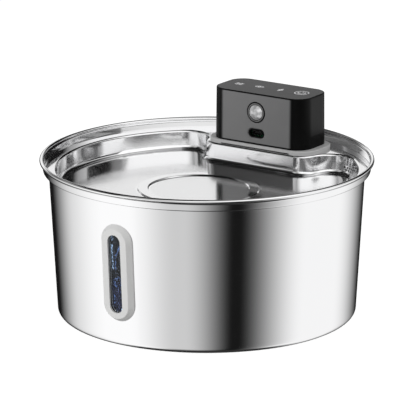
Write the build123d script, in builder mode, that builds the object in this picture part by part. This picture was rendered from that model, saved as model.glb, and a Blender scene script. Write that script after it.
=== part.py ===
from build123d import *
import math
import os

# Pet water fountain with a lift-out drinking tray and a cordless controller, in millimetres.
# +Z is up and the origin is on the resting plane, under the tank's axis.
# The window faces -Y and the controller stands at +Y. The object is symmetric about X = 0,
# apart from its drain holes, outlet pipe and filter blocks.

os.makedirs("parts", exist_ok=True)

# Tank
tank_sheet = 0.7
foot_corner = 2.0
panel_corner = 1.5
ledge_corner = 0.9
collar_corner = 1.2
foot_radius = 116.7
wall_draft = 3.14
panel_radius = 97.0
panel_step = 3.0
panel_lift = 1.5
ledge_z = 115.0
collar_radius = 127.2
lip_radius = 130.0
lip_bead = 1.5
lip_z = 122.4

# Drinking tray
tray_sheet = 0.6
tray_radius = 126.0
cavity_radius = 117.5
cavity_depth = 15.1
cavity_draft = 4.0
floor_fillet = 3.5
rim_roll = 1.6
lobe_radius = 19.0
platform_y = 66.0
platform_half = 37.5
platform_corner = 13.0
rib_inner = 39.2
rib_outer = 47.3
rib_height = 0.9
rib_run = 0.5
rib_corner = 0.5
rib_root = 0.2
level = 0.01
rib_y = -11.5
drain_radius = 0.8
drain_rows = (3.4, 5.7)
drain_count = 6
drain_pitch = 9.0
drain_centre = 55.0
drain_drill = 12.0

# Window
window_z = 59.0
bezel_height = 77.2
bezel_width = 28.2
bezel_rise = 4.2
bezel_slope = 36.0
bezel_corner = 0.8
sight_height = 62.2
sight_width = 11.4
lens_rebate = 2.0
lens_thick = 2.0
lens_front = 2.6
neck_wall = 4.0
gasket = 0.8

# Controller and its dock share one vertical axis at this y
drive_y = 90.0
dock_width = 99.0
dock_depth = 45.0
dock_corner = 15.5
dock_height = 3.0
dock_edge = 1.0
opening_width = 88.0
opening_depth = 38.0
opening_corner = 14.0
skirt_gap = 0.3
skirt_wall = 2.2
skirt_drop = 3.6
slot_width = 64.0
slot_height = 0.7
box_width = 88.0
box_depth = 42.0
box_height = 41.4
box_corner = 13.4
box_draft = 0.56
box_wall = 2.4
base_thick = 2.0
stem_radius = 14.0
stem_wall = 1.5
stem_bottom = 40.0
face_inset = 0.26
sensor_z = 144.8
port_z = 127.6

# Pump
column_gap = 0.5
column_wall = 1.8
column_roof = 1.2
chamber_radius = 15.0
chamber_wall = 2.0
chamber_floor = 21.0
chamber_roof = 38.4
impeller_radius = 13.5
blade_count = 6
shaft_radius = 1.0
running_gap = 0.06
riser_x = 26.0
riser_radius = 4.5
riser_bore = 3.2
basket_width = 82.0
basket_depth = 46.0
basket_y = 88.0
basket_corner = 14.0
basket_wall = 1.5
basket_floor = 8.0
basket_top = 62.0

# Heights that follow from the dimensions above
tray_top = ledge_z + tray_sheet
floor_top = tray_top - cavity_depth
dock_top = tray_top + dock_height
skirt_bottom = tray_top - skirt_drop
box_top = dock_top + box_height
ledge_under = ledge_z - tank_sheet


def wall_radius(z):
    return foot_radius + z * math.tan(math.radians(wall_draft))


# Four screw places, symmetric about the controller's axis.
def four_spots(x, y):
    return [(i * x, drive_y + j * y) for i in (-1, 1) for j in (-1, 1)]


# ---------------------------------------------------------------- tank

# One drawn sheet: raised bottom panel, tapered wall, shoulder, collar and rolled lip.
with BuildPart() as tank_bowl:
    with BuildSketch(Plane.XZ):
        with BuildLine():
            FilletPolyline(
                (0, panel_lift),
                (panel_radius, panel_lift),
                (panel_radius + panel_step, 0),
                (wall_radius(0), 0),
                (wall_radius(ledge_under), ledge_under),
                (collar_radius, ledge_under),
                (lip_radius - lip_bead, lip_z),
                radius=(panel_corner, panel_corner, foot_corner, ledge_corner, collar_corner),
            )
            offset(amount=tank_sheet, side=Side.LEFT)
        make_face()
        with Locations((lip_radius - lip_bead, lip_z)):
            Circle(lip_bead)
    revolve(axis=Axis.Z)

# The window's plane lies against the wall's outer face at the window's centre.
draft = math.radians(wall_draft)
window_plane = Plane(
    origin=(0, -wall_radius(window_z), window_z),
    x_dir=(1, 0, 0),
    z_dir=(0, -math.cos(draft), -math.sin(draft)),
)
neck_height = sight_height + 2 * neck_wall
neck_width = sight_width + 2 * neck_wall
neck_gap = 0.3
neck_reach = 4.2
clamp_reach = 6.0
clamp_rim = 4.5
nose_lap = 0.5

with tank_bowl:
    with BuildSketch(window_plane):
        SlotOverall(neck_height + 2 * neck_gap, neck_width + 2 * neck_gap, rotation=90)
    extrude(amount=2 * clamp_reach, both=True, mode=Mode.SUBTRACT)


def inside_wall(depth):
    """Frustum that fills the tank's wall cone, shrunk by depth along the wall's normal."""
    shrink = depth / math.cos(draft)
    height = ledge_under - foot_corner
    with BuildPart(Plane.XY.offset(foot_corner)) as cone:
        Cone(
            wall_radius(foot_corner) - shrink,
            wall_radius(ledge_under) - shrink,
            height,
            align=(Align.CENTER, Align.CENTER, Align.MIN),
        )
    return cone.part


# The bezel stands on the wall with sloped sides, and its neck passes through the slot.
with BuildPart() as window_bezel:
    with BuildSketch(window_plane):
        SlotOverall(bezel_height, bezel_width, rotation=90)
    extrude(amount=bezel_rise, taper=bezel_slope)
    crown = window_bezel.faces().sort_by(Axis.Y)[0]
    fillet(crown.edges(), radius=bezel_corner)
    with BuildSketch(window_plane):
        SlotOverall(bezel_height, bezel_width, rotation=90)
    extrude(amount=-lens_thick)
    add(inside_wall(0), mode=Mode.SUBTRACT)
    with BuildSketch(window_plane):
        SlotOverall(neck_height, neck_width, rotation=90)
    extrude(amount=-neck_reach)
    with BuildSketch(window_plane):
        SlotOverall(sight_height, sight_width, rotation=90)
    extrude(amount=2 * clamp_reach, both=True, mode=Mode.SUBTRACT)
    with BuildSketch(window_plane.offset(lens_front)):
        SlotOverall(sight_height + 2 * lens_rebate, sight_width + 2 * lens_rebate, rotation=90)
    extrude(amount=-2 * clamp_reach, mode=Mode.SUBTRACT)

lens_gap = 0.05
with BuildPart() as window_lens:
    with BuildSketch(window_plane.offset(lens_front - lens_thick)):
        SlotOverall(
            sight_height + 2 * lens_rebate - 2 * lens_gap,
            sight_width + 2 * lens_rebate - 2 * lens_gap,
            rotation=90,
        )
    extrude(amount=lens_thick)

# The gasket lies flat on the wall's curved inner face, under the clamp frame.
with BuildPart() as window_gasket:
    with BuildSketch(window_plane):
        SlotOverall(neck_height + 2 * clamp_rim, neck_width + 2 * clamp_rim, rotation=90)
        SlotOverall(
            neck_height + 2 * neck_gap,
            neck_width + 2 * neck_gap,
            rotation=90,
            mode=Mode.SUBTRACT,
        )
    extrude(amount=-clamp_reach)
    add(inside_wall(tank_sheet), mode=Mode.INTERSECT)
    add(inside_wall(tank_sheet + gasket), mode=Mode.SUBTRACT)

# The clamp frame presses the gasket to the wall, and its nose holds the lens in the rebate.
with BuildPart() as window_clamp:
    with BuildSketch(window_plane):
        SlotOverall(neck_height + 2 * clamp_rim, neck_width + 2 * clamp_rim, rotation=90)
    extrude(amount=-clamp_reach)
    add(inside_wall(tank_sheet + gasket), mode=Mode.INTERSECT)
    with BuildSketch(window_plane.offset(-neck_reach)):
        SlotOverall(neck_height + 2 * lens_gap, neck_width + 2 * lens_gap, rotation=90)
    extrude(amount=2 * clamp_reach, mode=Mode.SUBTRACT)
    with BuildSketch(window_plane.offset(-neck_reach - nose_lap)):
        SlotOverall(
            sight_height + 2 * lens_rebate - 2 * lens_gap,
            sight_width + 2 * lens_rebate - 2 * lens_gap,
            rotation=90,
        )
    extrude(amount=lens_front - lens_thick + neck_reach + nose_lap)
    with BuildSketch(window_plane):
        SlotOverall(sight_height, sight_width, rotation=90)
    extrude(amount=2 * clamp_reach, both=True, mode=Mode.SUBTRACT)


# ---------------------------------------------------------------- drinking tray

# Plan of the tray's hollow: a circle with the platform standing in from +Y. A convex corner
# of the platform and a concave lobe meet in one S-curve, and the lobe touches the circle.
corner_y = platform_y + platform_corner
lobe_reach = cavity_radius - lobe_radius
corner_reach = math.hypot(platform_half, corner_y)
lobe_turn = math.acos(
    (corner_reach**2 + lobe_reach**2 - (platform_corner + lobe_radius) ** 2)
    / (2 * corner_reach * lobe_reach)
)
lobe_angle = math.degrees(math.atan2(corner_y, platform_half) - lobe_turn)
lobe_x = lobe_reach * math.cos(math.radians(lobe_angle))
lobe_y = lobe_reach * math.sin(math.radians(lobe_angle))
meet_angle = math.degrees(math.atan2(lobe_y - corner_y, lobe_x - platform_half))

with BuildSketch() as cavity_plan:
    with BuildLine():
        Line((0, platform_y), (platform_half, platform_y))
        CenterArc((platform_half, corner_y), platform_corner, -90, 90 + meet_angle)
        CenterArc((lobe_x, lobe_y), lobe_radius, 180 + meet_angle, lobe_angle - 180 - meet_angle)
        CenterArc((0, 0), cavity_radius, lobe_angle, -90 - lobe_angle)
        mirror(about=Plane.YZ)
    make_face()


# The hollow and the cup around it are the same form, one sheet apart.
def cup(spread, drop, corner):
    with BuildPart() as form:
        with BuildSketch(Plane.XY.offset(tray_top)):
            offset(cavity_plan.sketch, amount=spread)
        extrude(amount=-drop, taper=cavity_draft)
        fillet(form.edges().group_by(Axis.Z)[0], radius=corner)
    return form.part


def ring_ridge(z):
    """Solid under the pressed ring's rounded top line, seen from z upwards."""
    plane = Plane(origin=(0, rib_y, z), x_dir=(1, 0, 0), z_dir=(0, -1, 0))
    with BuildPart() as ridge:
        with BuildSketch(plane):
            with BuildLine():
                FilletPolyline(
                    (rib_inner - rib_run, -rib_root),
                    (rib_inner + rib_run, rib_height),
                    (rib_outer - rib_run, rib_height),
                    (rib_outer + rib_run, -rib_root),
                    (rib_inner - rib_run, -rib_root),
                    radius=(0, rib_corner, rib_corner, 0),
                )
            make_face()
        revolve(axis=Axis((0, rib_y, 0), (0, 0, 1)))
    return ridge.part


with BuildPart() as drinking_tray:
    with BuildSketch(Plane.XY.offset(ledge_z)):
        Circle(tray_radius)
    extrude(amount=tray_sheet)
    add(cup(tray_sheet, cavity_depth + tray_sheet, floor_fillet + tray_sheet))
    under_rim = drinking_tray.edges().filter_by_position(Axis.Z, ledge_z - level, ledge_z + level)
    fillet(under_rim.sort_by(SortBy.LENGTH)[:-1], radius=rim_roll - tray_sheet)
    add(cup(0, cavity_depth, floor_fillet), mode=Mode.SUBTRACT)
    over_rim = drinking_tray.edges().group_by(Axis.Z)[-1]
    fillet(over_rim.sort_by(SortBy.LENGTH)[:-1], radius=rim_roll)
    add(ring_ridge(floor_top))
    add(ring_ridge(floor_top - tray_sheet), mode=Mode.SUBTRACT)
    with BuildSketch(Plane.XY.offset(ledge_z)):
        with Locations((0, drive_y)):
            RectangleRounded(opening_width, opening_depth, opening_corner)
    extrude(amount=tray_sheet, mode=Mode.SUBTRACT)

# Rows of drain holes low in the right lobe's outer wall, every other row half a pitch along.
drain_turns = [drain_centre + (i - (drain_count - 1) / 2) * drain_pitch for i in range(drain_count)]
drain_spots = []
for row, rise in enumerate(drain_rows):
    for turn in drain_turns:
        angle = math.radians(turn + row % 2 * drain_pitch / 2)
        x = lobe_x + lobe_radius * math.cos(angle)
        y = lobe_y + lobe_radius * math.sin(angle)
        outward = (math.cos(angle), math.sin(angle), 0)
        drain_spots.append(Plane((x, y, floor_top + rise), z_dir=outward).location)

with drinking_tray:
    with Locations(*drain_spots):
        Cylinder(drain_radius, drain_drill, mode=Mode.SUBTRACT)

# ---------------------------------------------------------------- dock and its seals

skirt_width = opening_width - 2 * skirt_gap
skirt_depth = opening_depth - 2 * skirt_gap
skirt_corner = opening_corner - skirt_gap
hall_width = skirt_width - 2 * skirt_wall
hall_depth = skirt_depth - 2 * skirt_wall
hall_corner = skirt_corner - skirt_wall
stem_hole = stem_radius + column_gap
well_wall = 1.6
well_radius = stem_hole + well_wall
ceiling_z = tray_top + slot_height
boss_x = 36.0
boss_y = 11.5
boss_radius = 3.0
screw_radius = 1.1
screw_head = 2.1
screw_head_height = 1.4
screw_edge = 0.5
dock_screw_spots = four_spots(boss_x, boss_y)
seal = 0.5

# The dock plugs into the platform's opening. Water fills the hall inside its skirt and runs
# out through the wide slot under its front edge.
with BuildPart() as dock:
    with BuildSketch(Plane.XY.offset(tray_top)):
        with Locations((0, drive_y)):
            RectangleRounded(dock_width, dock_depth, dock_corner)
    extrude(amount=dock_height)
    fillet(dock.edges().group_by(Axis.Z)[-1], radius=dock_edge)
    with BuildSketch(Plane.XY.offset(skirt_bottom)):
        with Locations((0, drive_y)):
            RectangleRounded(skirt_width, skirt_depth, skirt_corner)
    extrude(amount=skirt_drop)
    with BuildSketch(Plane.XY.offset(skirt_bottom)):
        with Locations((0, drive_y)):
            RectangleRounded(hall_width, hall_depth, hall_corner)
            Circle(well_radius, mode=Mode.SUBTRACT)
        with Locations(*dock_screw_spots):
            Circle(boss_radius, mode=Mode.SUBTRACT)
    extrude(amount=ceiling_z - skirt_bottom, mode=Mode.SUBTRACT)
    with BuildSketch(Plane.XY.offset(tray_top)):
        with Locations((0, drive_y - dock_depth / 2)):
            Rectangle(slot_width, dock_depth - hall_depth)
    extrude(amount=slot_height, mode=Mode.SUBTRACT)
    with BuildSketch(Plane.XY.offset(skirt_bottom)):
        with Locations((0, drive_y)):
            Circle(stem_hole)
    extrude(amount=2 * skirt_drop, mode=Mode.SUBTRACT)
    with BuildSketch(Plane.XY.offset(skirt_bottom)):
        with Locations(*dock_screw_spots):
            Circle(screw_radius)
    extrude(amount=ceiling_z - skirt_bottom, mode=Mode.SUBTRACT)

with BuildPart() as dock_gasket:
    with BuildSketch(Plane.XY.offset(skirt_bottom - seal)):
        with Locations((0, drive_y)):
            RectangleRounded(skirt_width, skirt_depth, skirt_corner)
            RectangleRounded(hall_width, hall_depth, hall_corner, mode=Mode.SUBTRACT)
    extrude(amount=seal)

with BuildPart() as well_seal:
    with BuildSketch(Plane.XY.offset(skirt_bottom - seal)):
        with Locations((0, drive_y)):
            Circle(well_radius)
            Circle(stem_hole, mode=Mode.SUBTRACT)
    extrude(amount=seal)


# ---------------------------------------------------------------- pump unit under the tray

plate_top = skirt_bottom - seal
plate_thick = 2.0
plate_bottom = plate_top - plate_thick
plate_width = 94.0
plate_depth = 43.0
plate_corner = 12.0
ring_gap = 0.5
column_radius = stem_hole + column_wall
well_floor = chamber_roof + column_roof
cup_radius = chamber_radius + chamber_wall
hanger_thick = 2.0
hanger_gap = 0.2
hanger_width = basket_width - 2 * (basket_wall + hanger_gap)
hanger_depth = basket_depth - 2 * (basket_wall + hanger_gap)
hanger_corner = basket_corner - basket_wall - hanger_gap
outlet_z = 28.0
outlet_half = 5.5
outlet_top = 36.0
riser_low = 32.0
bend_bore = 2.9
ear_radius = 3.0
ear_reach = 17.8
ear_height = 4.0
cover_thick = 2.0
eye_radius = 7.0
hub_radius = 3.0
hub_bottom = 24.5
hub_gap = 0.3
pin_boss = 0.7
pin_seat = 0.5
pin_foot = 0.8
spoke_width = 1.6
spoke_lap = 1.0
port_lap = 2.0
ear_angles = [math.radians(turn) for turn in (30, 150, 270)]
cover_screw_spots = [
    (ear_reach * math.cos(turn), drive_y + ear_reach * math.sin(turn)) for turn in ear_angles
]

# One moulding: clamp plate, well for the controller's stem, basket hanger and the impeller's
# chamber with its side outlet.
with BuildPart() as pump_column:
    with BuildSketch(Plane.XY.offset(plate_bottom)):
        with Locations((0, drive_y)):
            RectangleRounded(plate_width, plate_depth, plate_corner)
    extrude(amount=plate_thick)
    with BuildSketch(Plane.XY.offset(chamber_floor)):
        with Locations((0, drive_y)):
            Circle(cup_radius)
    extrude(amount=well_floor - chamber_floor)
    with BuildSketch(Plane.XY.offset(well_floor)):
        with Locations((0, drive_y)):
            Circle(column_radius)
    extrude(amount=plate_bottom - well_floor)
    with BuildSketch(Plane.XY.offset(basket_top)):
        with Locations((0, basket_y)):
            RectangleRounded(basket_width, basket_depth, basket_corner)
    extrude(amount=hanger_thick)
    with BuildSketch(Plane.XY.offset(basket_top - hanger_thick)):
        with Locations((0, basket_y)):
            RectangleRounded(hanger_width, hanger_depth, hanger_corner)
    extrude(amount=hanger_thick)
    with BuildSketch(Plane.XY.offset(chamber_floor + cover_thick)):
        with Locations((riser_x / 2, drive_y)):
            Rectangle(riser_x, 2 * outlet_half)
        with Locations((riser_x, drive_y)):
            Circle(outlet_half)
    extrude(amount=outlet_top - chamber_floor - cover_thick)
    with BuildSketch(Plane.XY.offset(chamber_floor)):
        with Locations(*cover_screw_spots):
            Circle(ear_radius)
    extrude(amount=ear_height)
    with BuildSketch(Plane.XY.offset(well_floor)):
        with Locations((0, drive_y)):
            Circle(stem_hole)
    extrude(amount=plate_top - well_floor, mode=Mode.SUBTRACT)
    with BuildSketch(Plane.XY.offset(chamber_floor)):
        with Locations((0, drive_y)):
            Circle(chamber_radius)
        with Locations(*cover_screw_spots):
            Circle(screw_radius)
    extrude(amount=ear_height, mode=Mode.SUBTRACT)
    with BuildSketch(Plane.XY.offset(chamber_floor)):
        with Locations((0, drive_y)):
            Circle(chamber_radius)
    extrude(amount=chamber_roof - chamber_floor, mode=Mode.SUBTRACT)
    with BuildSketch(Plane.XY.offset(chamber_roof - pin_boss)):
        with Locations((0, drive_y)):
            Circle(hub_radius)
    extrude(amount=pin_boss)
    with BuildSketch(Plane.XY.offset(chamber_roof - pin_boss)):
        with Locations((0, drive_y)):
            Circle(shaft_radius)
    extrude(amount=pin_boss + pin_seat, mode=Mode.SUBTRACT)
    with BuildSketch(Plane.YZ.offset(chamber_radius - port_lap)):
        with Locations((drive_y, outlet_z)):
            Circle(bend_bore)
    extrude(amount=riser_x - chamber_radius + port_lap, mode=Mode.SUBTRACT)
    with BuildSketch(Plane.XY.offset(outlet_z)):
        with Locations((riser_x, drive_y)):
            Circle(riser_bore)
    extrude(amount=outlet_top - outlet_z, mode=Mode.SUBTRACT)
    with BuildSketch(Plane.XY.offset(riser_low)):
        with Locations((riser_x, drive_y)):
            Circle(riser_radius)
    extrude(amount=plate_top - riser_low, mode=Mode.SUBTRACT)
    with BuildSketch(Plane.XY.offset(plate_bottom)):
        with Locations(*dock_screw_spots):
            Circle(screw_radius)
    extrude(amount=plate_thick, mode=Mode.SUBTRACT)

# The clamp ring surrounds the dock's skirt and presses the platform's sheet up to the dock.
with BuildPart() as clamp_ring:
    with BuildSketch(Plane.XY.offset(plate_top)):
        with Locations((0, drive_y)):
            RectangleRounded(plate_width, plate_depth, plate_corner)
            RectangleRounded(
                skirt_width + 2 * ring_gap,
                skirt_depth + 2 * ring_gap,
                skirt_corner + ring_gap,
                mode=Mode.SUBTRACT,
            )
    extrude(amount=ledge_z - plate_top)

with BuildPart() as riser_tube:
    with BuildSketch(Plane.XY.offset(riser_low)):
        with Locations((riser_x, drive_y)):
            Circle(riser_radius)
            Circle(riser_bore, mode=Mode.SUBTRACT)
    extrude(amount=plate_top - riser_low)

with BuildPart() as pump_cover:
    with BuildSketch(Plane.XY.offset(chamber_floor - cover_thick)):
        with Locations((0, drive_y)):
            Circle(cup_radius)
        with Locations(*cover_screw_spots):
            Circle(ear_radius)
        with Locations((0, drive_y)):
            Circle(eye_radius, mode=Mode.SUBTRACT)
            with PolarLocations(eye_radius / 2, 3):
                Rectangle(eye_radius + spoke_lap, spoke_width)
            Circle(hub_radius)
        with Locations(*cover_screw_spots):
            Circle(screw_radius, mode=Mode.SUBTRACT)
    extrude(amount=cover_thick)
    with BuildSketch(Plane.XY.offset(chamber_floor)):
        with Locations((0, drive_y)):
            Circle(hub_radius)
    extrude(amount=hub_bottom - chamber_floor - hub_gap)
    with BuildSketch(Plane.XY.offset(chamber_floor - pin_foot)):
        with Locations((0, drive_y)):
            Circle(shaft_radius)
    extrude(amount=hub_bottom, mode=Mode.SUBTRACT)

with BuildPart() as impeller_shaft:
    with BuildSketch(Plane.XY.offset(chamber_floor - pin_foot)):
        with Locations((0, drive_y)):
            Circle(shaft_radius)
    extrude(amount=chamber_roof + pin_seat - chamber_floor + pin_foot)

blade_top = 32.3
magnet_bottom = 33.8
magnet_height = 3.4
magnet_radius = 10.3
blade_bottom = 25.5
blade_thick = 1.1
blade_bow = 9.0
blade_tip_x = 12.3
blade_tip_y = -3.5
blade_root = 2.5

with BuildSketch() as blade_plan:
    with BuildLine():
        RadiusArc((blade_root, 0), (blade_tip_x, blade_tip_y), blade_bow)
    trace(line_width=blade_thick)

with BuildPart() as impeller:
    with BuildSketch(Plane.XY.offset(blade_top)):
        with Locations((0, drive_y)):
            Circle(impeller_radius)
    extrude(amount=magnet_bottom - blade_top)
    with BuildSketch(Plane.XY.offset(blade_bottom)):
        with Locations((0, drive_y)):
            with PolarLocations(0, blade_count):
                add(blade_plan.sketch)
    extrude(amount=blade_top - blade_bottom)
    with BuildSketch(Plane.XY.offset(hub_bottom)):
        with Locations((0, drive_y)):
            Circle(hub_radius)
    extrude(amount=magnet_bottom + magnet_height - hub_bottom)
    with BuildSketch(Plane.XY.offset(hub_bottom)):
        with Locations((0, drive_y)):
            Circle(shaft_radius + running_gap)
    extrude(amount=2 * magnet_bottom, mode=Mode.SUBTRACT)

with BuildPart() as impeller_magnet:
    with BuildSketch(Plane.XY.offset(magnet_bottom)):
        with Locations((0, drive_y)):
            Circle(magnet_radius)
            Circle(hub_radius, mode=Mode.SUBTRACT)
    extrude(amount=magnet_height)


def screws(spots, tip, seat):
    """Pan-head screws that enter upwards, with their heads under the seat plane."""
    with BuildPart() as group:
        with BuildSketch(Plane.XY.offset(seat - screw_head_height)):
            with Locations(*spots):
                Circle(screw_head)
        extrude(amount=screw_head_height)
        chamfer(group.edges().group_by(Axis.Z)[0], length=screw_edge)
        with BuildSketch(Plane.XY.offset(seat)):
            with Locations(*spots):
                Circle(screw_radius)
        extrude(amount=tip - seat)
    return group


tip_gap = 0.5
dock_screws = screws(dock_screw_spots, ceiling_z - tip_gap, plate_bottom)
cover_screws = screws(cover_screw_spots, chamber_floor + ear_height - tip_gap, chamber_floor - cover_thick)

# The basket hangs from the column and keeps the filter blocks round the pump.
slot_bar = 2.4
slot_low = 14.0
slot_high = 54.0
slot_pitch = 5.4
slots_front = 10
slots_side = 4
basket_edge = 2.0
with BuildPart() as filter_basket:
    with BuildSketch(Plane.XY.offset(basket_floor)):
        with Locations((0, basket_y)):
            RectangleRounded(basket_width, basket_depth, basket_corner)
    extrude(amount=basket_top - basket_floor)
    fillet(filter_basket.edges().group_by(Axis.Z)[0], radius=basket_edge)
    with BuildSketch(Plane.XY.offset(basket_floor + basket_wall)):
        with Locations((0, basket_y)):
            RectangleRounded(
                basket_width - 2 * basket_wall,
                basket_depth - 2 * basket_wall,
                basket_corner - basket_wall,
            )
    extrude(amount=basket_top, mode=Mode.SUBTRACT)
    with BuildSketch(Plane.XZ.offset(-basket_y)):
        with Locations((0, (slot_low + slot_high) / 2)):
            with GridLocations(slot_pitch, 0, slots_front, 1):
                Rectangle(slot_bar, slot_high - slot_low)
    extrude(amount=basket_depth, both=True, mode=Mode.SUBTRACT)
    with BuildSketch(Plane.YZ):
        with Locations((basket_y, (slot_low + slot_high) / 2)):
            with GridLocations(slot_pitch, 0, slots_side, 1):
                Rectangle(slot_bar, slot_high - slot_low)
    extrude(amount=basket_width, both=True, mode=Mode.SUBTRACT)

block_width = 20.0
block_depth = 40.0
block_x = 28.8
block_low = 10.5
block_high = 58.0
block_corner = 11.0
block_edge = 2.0
notch_gap = 1.0
with BuildPart() as carbon_filter:
    with BuildSketch(Plane.XY.offset(block_low)):
        with Locations((-block_x, basket_y)):
            Rectangle(block_width, block_depth)
    extrude(amount=block_high - block_low)
    fillet(carbon_filter.edges().filter_by(Axis.Z).group_by(Axis.X)[0], radius=block_corner)
    fillet(carbon_filter.faces().sort_by(Axis.Z)[-1].edges(), radius=block_edge)

# The foam block is notched round the riser and the pump's outlet.
with BuildPart() as foam_filter:
    with BuildSketch(Plane.XY.offset(block_low)):
        with Locations((block_x, basket_y)):
            Rectangle(block_width, block_depth)
    extrude(amount=block_high - block_low)
    fillet(foam_filter.edges().filter_by(Axis.Z).group_by(Axis.X)[-1], radius=block_corner)
    with BuildSketch(Plane.XY.offset(block_low)):
        with Locations((riser_x / 2, drive_y)):
            Rectangle(riser_x + 2 * (outlet_half + notch_gap), 2 * (outlet_half + notch_gap))
    extrude(amount=block_high, mode=Mode.SUBTRACT)


# ---------------------------------------------------------------- controller housing

lower_wall = 1.4
ledge_drop = 3.0
roof_thick = 0.8
panel_thick = 0.8
panel_rim = 1.0
panel_gap = 0.1
post_radius = 3.0
post_x = 36.5
post_y = 13.5
post_top = 127.0
base_screw_spots = four_spots(post_x, post_y)
board_front = 78.5
board_thick = 1.6
board_width = 64.0
board_low = 122.5
board_high = 156.0
board_post_x = 28.5
board_post_low = 126.0
board_post_high = 152.0
board_post_radius = 2.5
screw_tip_gap = 2.0
housing_edge = 0.7
seat_gap = 0.4
nose_wall = 1.0
head_gap = 0.2
board_posts = [(i * board_post_x, z) for i in (-1, 1) for z in (board_post_low, board_post_high)]
lens_bore = 8.6
port_width = 12.7
port_height = 5.0
port_rim = 1.9
port_dish = 0.8
face_y = drive_y - box_depth / 2 + face_inset

front_plane = Plane(origin=(0, face_y, 0), x_dir=(1, 0, 0), z_dir=(0, -1, 0))


def box_plan_offset(inset):
    return (box_width - 2 * inset, box_depth - 2 * inset, box_corner - inset)


# A drafted shell with a flat, panelled top, posts for the base's screws and for the board,
# a bore for the sensor's lens and a dished port.
with BuildPart() as controller_housing:
    with BuildSketch(Plane.XY.offset(dock_top)):
        with Locations((0, drive_y)):
            RectangleRounded(*box_plan_offset(0))
    extrude(amount=box_height, taper=box_draft)
    fillet(controller_housing.edges().group_by(Axis.Z)[-1], radius=housing_edge)
    with BuildSketch(Plane.XY.offset(dock_top)):
        with Locations((0, drive_y)):
            RectangleRounded(*box_plan_offset(lower_wall))
    extrude(amount=ledge_drop, mode=Mode.SUBTRACT)
    with BuildSketch(Plane.XY.offset(dock_top)):
        with Locations((0, drive_y)):
            RectangleRounded(*box_plan_offset(box_wall))
    extrude(amount=box_height - roof_thick - panel_thick, mode=Mode.SUBTRACT)
    with BuildSketch(Plane.XY.offset(box_top - panel_thick)):
        with Locations((0, drive_y)):
            RectangleRounded(*box_plan_offset(panel_rim + seat_gap))
    extrude(amount=panel_thick, mode=Mode.SUBTRACT)
    with BuildSketch(Plane.XY.offset(dock_top + base_thick)):
        with Locations(*base_screw_spots):
            Circle(post_radius)
    extrude(amount=post_top - dock_top - base_thick)
    with BuildSketch(Plane.XZ.offset(-board_front)):
        with Locations(*board_posts):
            Circle(board_post_radius)
    extrude(amount=board_front - face_y - nose_wall)
    with BuildSketch(front_plane):
        with Locations((0, sensor_z)):
            Circle(lens_bore)
        with Locations((0, port_z)):
            SlotOverall(port_width, port_height)
    extrude(amount=board_front - face_y, both=True, mode=Mode.SUBTRACT)
    with BuildSketch(front_plane.offset(-port_dish)):
        with Locations((0, port_z)):
            SlotOverall(port_width + 2 * (port_rim - port_dish), port_height + 2 * (port_rim - port_dish))
    extrude(amount=port_dish + face_inset, taper=-45, mode=Mode.SUBTRACT)
    with BuildSketch(Plane.XY.offset(dock_top + base_thick)):
        with Locations(*base_screw_spots):
            Circle(screw_radius)
    extrude(amount=post_top - dock_top - base_thick - screw_tip_gap, mode=Mode.SUBTRACT)

with BuildPart() as touch_panel:
    with BuildSketch(Plane.XY.offset(box_top - panel_thick)):
        with Locations((0, drive_y)):
            RectangleRounded(*box_plan_offset(panel_rim + seat_gap + panel_gap))
    extrude(amount=panel_thick)

touch_width = 74.0
touch_depth = 30.0
touch_thick = 1.0
touch_corner = 4.0
with BuildPart() as touch_board:
    with BuildSketch(Plane.XY.offset(box_top - panel_thick - roof_thick - touch_thick)):
        with Locations((0, drive_y)):
            RectangleRounded(touch_width, touch_depth, touch_corner)
    extrude(amount=touch_thick)

# Sensor lens: a thin dome with a flange behind its ring.
ring_inner = 6.2
dome_radius = 6.1
dome_rise = 2.6
dome_wall = 0.9
flange_radius = 7.6
ring_back = 2.0
ring_lip = 0.4
ring_edge = 0.3
ring_clear = 0.2
groove_inner = 7.6
groove_depth = 1.2
sensor_plane = Plane(origin=(0, face_y, sensor_z), x_dir=(1, 0, 0), z_dir=(0, 0, 1))
sensor_axis = Axis((0, face_y, sensor_z), (0, -1, 0))
sphere = (dome_radius**2 + dome_rise**2) / (2 * dome_rise)
sphere_y = sphere - dome_rise
dome_turn = math.degrees(math.asin(dome_radius / sphere))
inner_radius = dome_radius - dome_wall
inner_turn = math.degrees(math.asin(inner_radius / (sphere - dome_wall)))
inner_y = sphere_y - (sphere - dome_wall) * math.cos(math.radians(inner_turn))

with BuildPart() as lens_ring:
    with BuildSketch(sensor_plane):
        with BuildLine():
            Polyline(
                (ring_inner, ring_back),
                (ring_inner, -ring_lip + ring_edge),
                (ring_inner + ring_edge, -ring_lip),
                (groove_inner - ring_edge, -ring_lip),
                (groove_inner, -ring_lip + ring_edge),
                (groove_inner, groove_depth),
                (lens_bore - ring_clear, groove_depth),
                (lens_bore - ring_clear, ring_back),
                close=True,
            )
        make_face()
    revolve(axis=sensor_axis)

with BuildPart() as pir_lens:
    with BuildSketch(sensor_plane):
        with BuildLine():
            CenterArc((0, sphere_y), sphere, -90, dome_turn)
            Polyline(
                (dome_radius, 0),
                (dome_radius, ring_back),
                (flange_radius, ring_back),
                (flange_radius, ring_back + dome_wall),
                (inner_radius, ring_back + dome_wall),
                (inner_radius, inner_y),
            )
            CenterArc((0, sphere_y), sphere - dome_wall, inner_turn - 90, -inner_turn)
            Line((0, dome_wall - dome_rise), (0, -dome_rise))
        make_face()
    revolve(axis=sensor_axis)

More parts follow.
